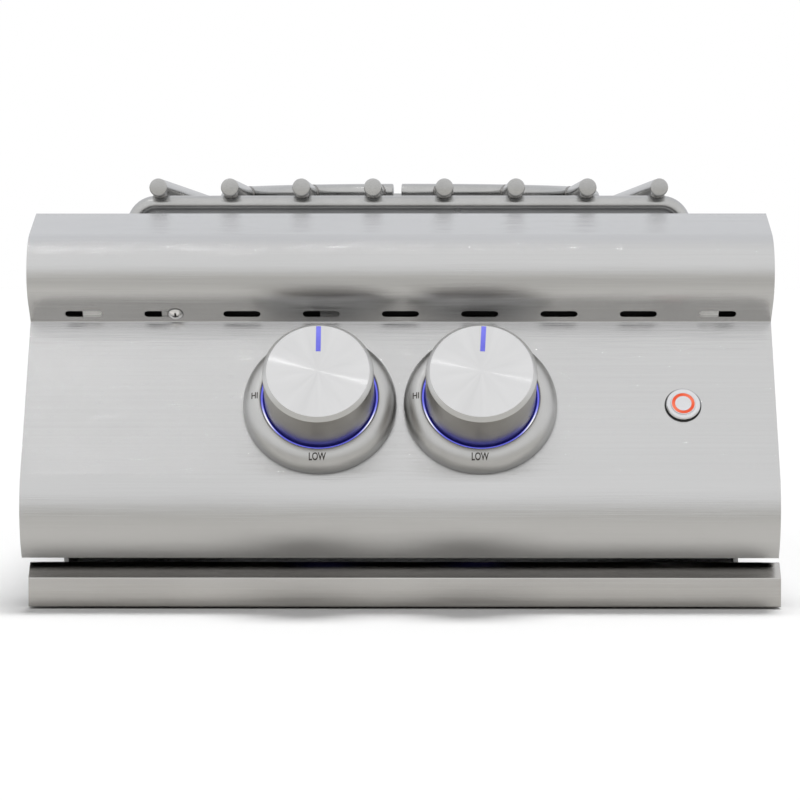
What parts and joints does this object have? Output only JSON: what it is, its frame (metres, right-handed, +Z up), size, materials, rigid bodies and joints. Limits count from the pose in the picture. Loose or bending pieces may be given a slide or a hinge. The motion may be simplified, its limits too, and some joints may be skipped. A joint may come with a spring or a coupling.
{
  "type": "power burner",
  "caption": "Drop-in outdoor gas power burner: curved steel control fascia with lit push-to-turn knobs and a lit button, ring burner pan, lift-off cooking grid, pull-out drip tray.",
  "frame": {"origin": "centre of the chassis floor's underside", "axes": "+X to the right seen from the controls, +Y to the back, +Z up"},
  "size_m": [0.4828, 0.7267, 0.2767],
  "materials": {
    "fascia_steel": "brushed along the width, satin",
    "bezel_steel": "brushed round the ring, satin",
    "knob_metal": "turned face, brushed side",
    "switch_steel": "satin",
    "screw_steel": "bright",
    "spring_steel": "bright wire",
    "chassis_steel": "mill finish sheet",
    "pan_steel": "satin sheet",
    "burner_metal": "cast, machined faces",
    "grid_steel": "polished round bar",
    "pipe_steel": "drawn pipe",
    "valve_metal": "die cast",
    "brass": "machined",
    "blue_light": "lit from behind, blue",
    "red_light": "lit from behind, orange red",
    "black_rubber": "moulded",
    "black_plastic": "moulded",
    "igniter_ceramic": "fired, matt"
  },
  "bodies": {
    "chassis": {"front_fascia": "fascia_steel", "left_fascia_cheek": "fascia_steel", "right_fascia_cheek": "fascia_steel", "fascia_bracket": "chassis_steel", "fascia_screw": "screw_steel", "left_bezel": "bezel_steel", "right_bezel": "bezel_steel", "left_light_ring": "blue_light", "right_light_ring": "blue_light", "bezel_screws": "screw_steel", "left_valve_body": "valve_metal", "right_valve_body": "valve_metal", "left_valve_bonnet": "valve_metal", "right_valve_bonnet": "valve_metal", "left_valve_spring": "spring_steel", "right_valve_spring": "spring_steel", "left_orifice": "brass", "right_orifice": "brass", "switch_body": "switch_steel", "switch_seal": "black_rubber", "switch_nut": "switch_steel", "switch_spring": "spring_steel", "chassis_floor": "chassis_steel", "chassis_left_side": "chassis_steel", "chassis_right_side": "chassis_steel", "chassis_back": "chassis_steel", "front_bulkhead": "chassis_steel", "top_frame": "chassis_steel", "burner_pan": "pan_steel", "burner_strap": "pan_steel", "outer_burner": "burner_metal", "outer_burner_cap": "burner_metal", "inner_burner": "burner_metal", "inner_burner_cap": "burner_metal", "outer_mixing_tube": "pan_steel", "inner_mixing_tube": "pan_steel", "igniter_electrodes": "igniter_ceramic", "gas_manifold": "pipe_steel", "manifold_clip": "chassis_steel", "gas_inlet": "brass", "power_jack": "black_plastic", "chassis_screws": "screw_steel", "left_tray_rail": "chassis_steel", "right_tray_rail": "chassis_steel"},
    "left_push_collar": {"left_stem_collar": "brass"},
    "right_push_collar": {"right_stem_collar": "brass"},
    "left_control": {"left_knob": "knob_metal", "left_pointer": "blue_light", "left_valve_stem": "brass"},
    "right_control": {"right_knob": "knob_metal", "right_pointer": "blue_light", "right_valve_stem": "brass"},
    "push_button": {"switch_plunger": "switch_steel", "switch_light": "red_light"},
    "drip_tray": {"drip_tray_pan": "pan_steel", "drip_tray_front": "fascia_steel"},
    "cooking_grid": {"grid_front_frame": "grid_steel", "grid_rear_frame": "grid_steel", "grid_bars": "grid_steel", "grid_ring": "grid_steel"}
  },
  "joints": [
    {"name": "left_knob_push", "type": "slide", "parent": "chassis", "child": "left_push_collar", "axis": [0, 0.8622, -0.5065], "range_m": [0, 0.004], "stiffness_N_per_m": 800, "springref_m": -0.004, "deforming": ["left_valve_spring"]},
    {"name": "left_knob_turn", "type": "hinge", "parent": "left_push_collar", "child": "left_control", "pos_m": [-0.05125, -0.35453, 0.12927], "axis": [0, -0.8622, 0.5065], "range_deg": [0, 180]},
    {"name": "right_knob_push", "type": "slide", "parent": "chassis", "child": "right_push_collar", "axis": [0, 0.8622, -0.5065], "range_m": [0, 0.004], "stiffness_N_per_m": 800, "springref_m": -0.004, "deforming": ["right_valve_spring"]},
    {"name": "right_knob_turn", "type": "hinge", "parent": "right_push_collar", "child": "right_control", "pos_m": [0.05125, -0.35453, 0.12927], "axis": [0, -0.8622, 0.5065], "range_deg": [0, 183]},
    {"name": "button_press", "type": "slide", "parent": "chassis", "child": "push_button", "axis": [0, 0.8622, -0.5065], "range_m": [0, 0.0025], "stiffness_N_per_m": 500, "springref_m": -0.0015, "deforming": ["switch_spring"]},
    {"name": "tray_slide", "type": "slide", "parent": "chassis", "child": "drip_tray", "axis": [0, -1, 0], "range_m": [0, 0.4]},
    {"name": "grid_lift", "type": "slide", "parent": "chassis", "child": "cooking_grid", "axis": [0, 0, 1], "range_m": [0, 0.15]}
  ]
}
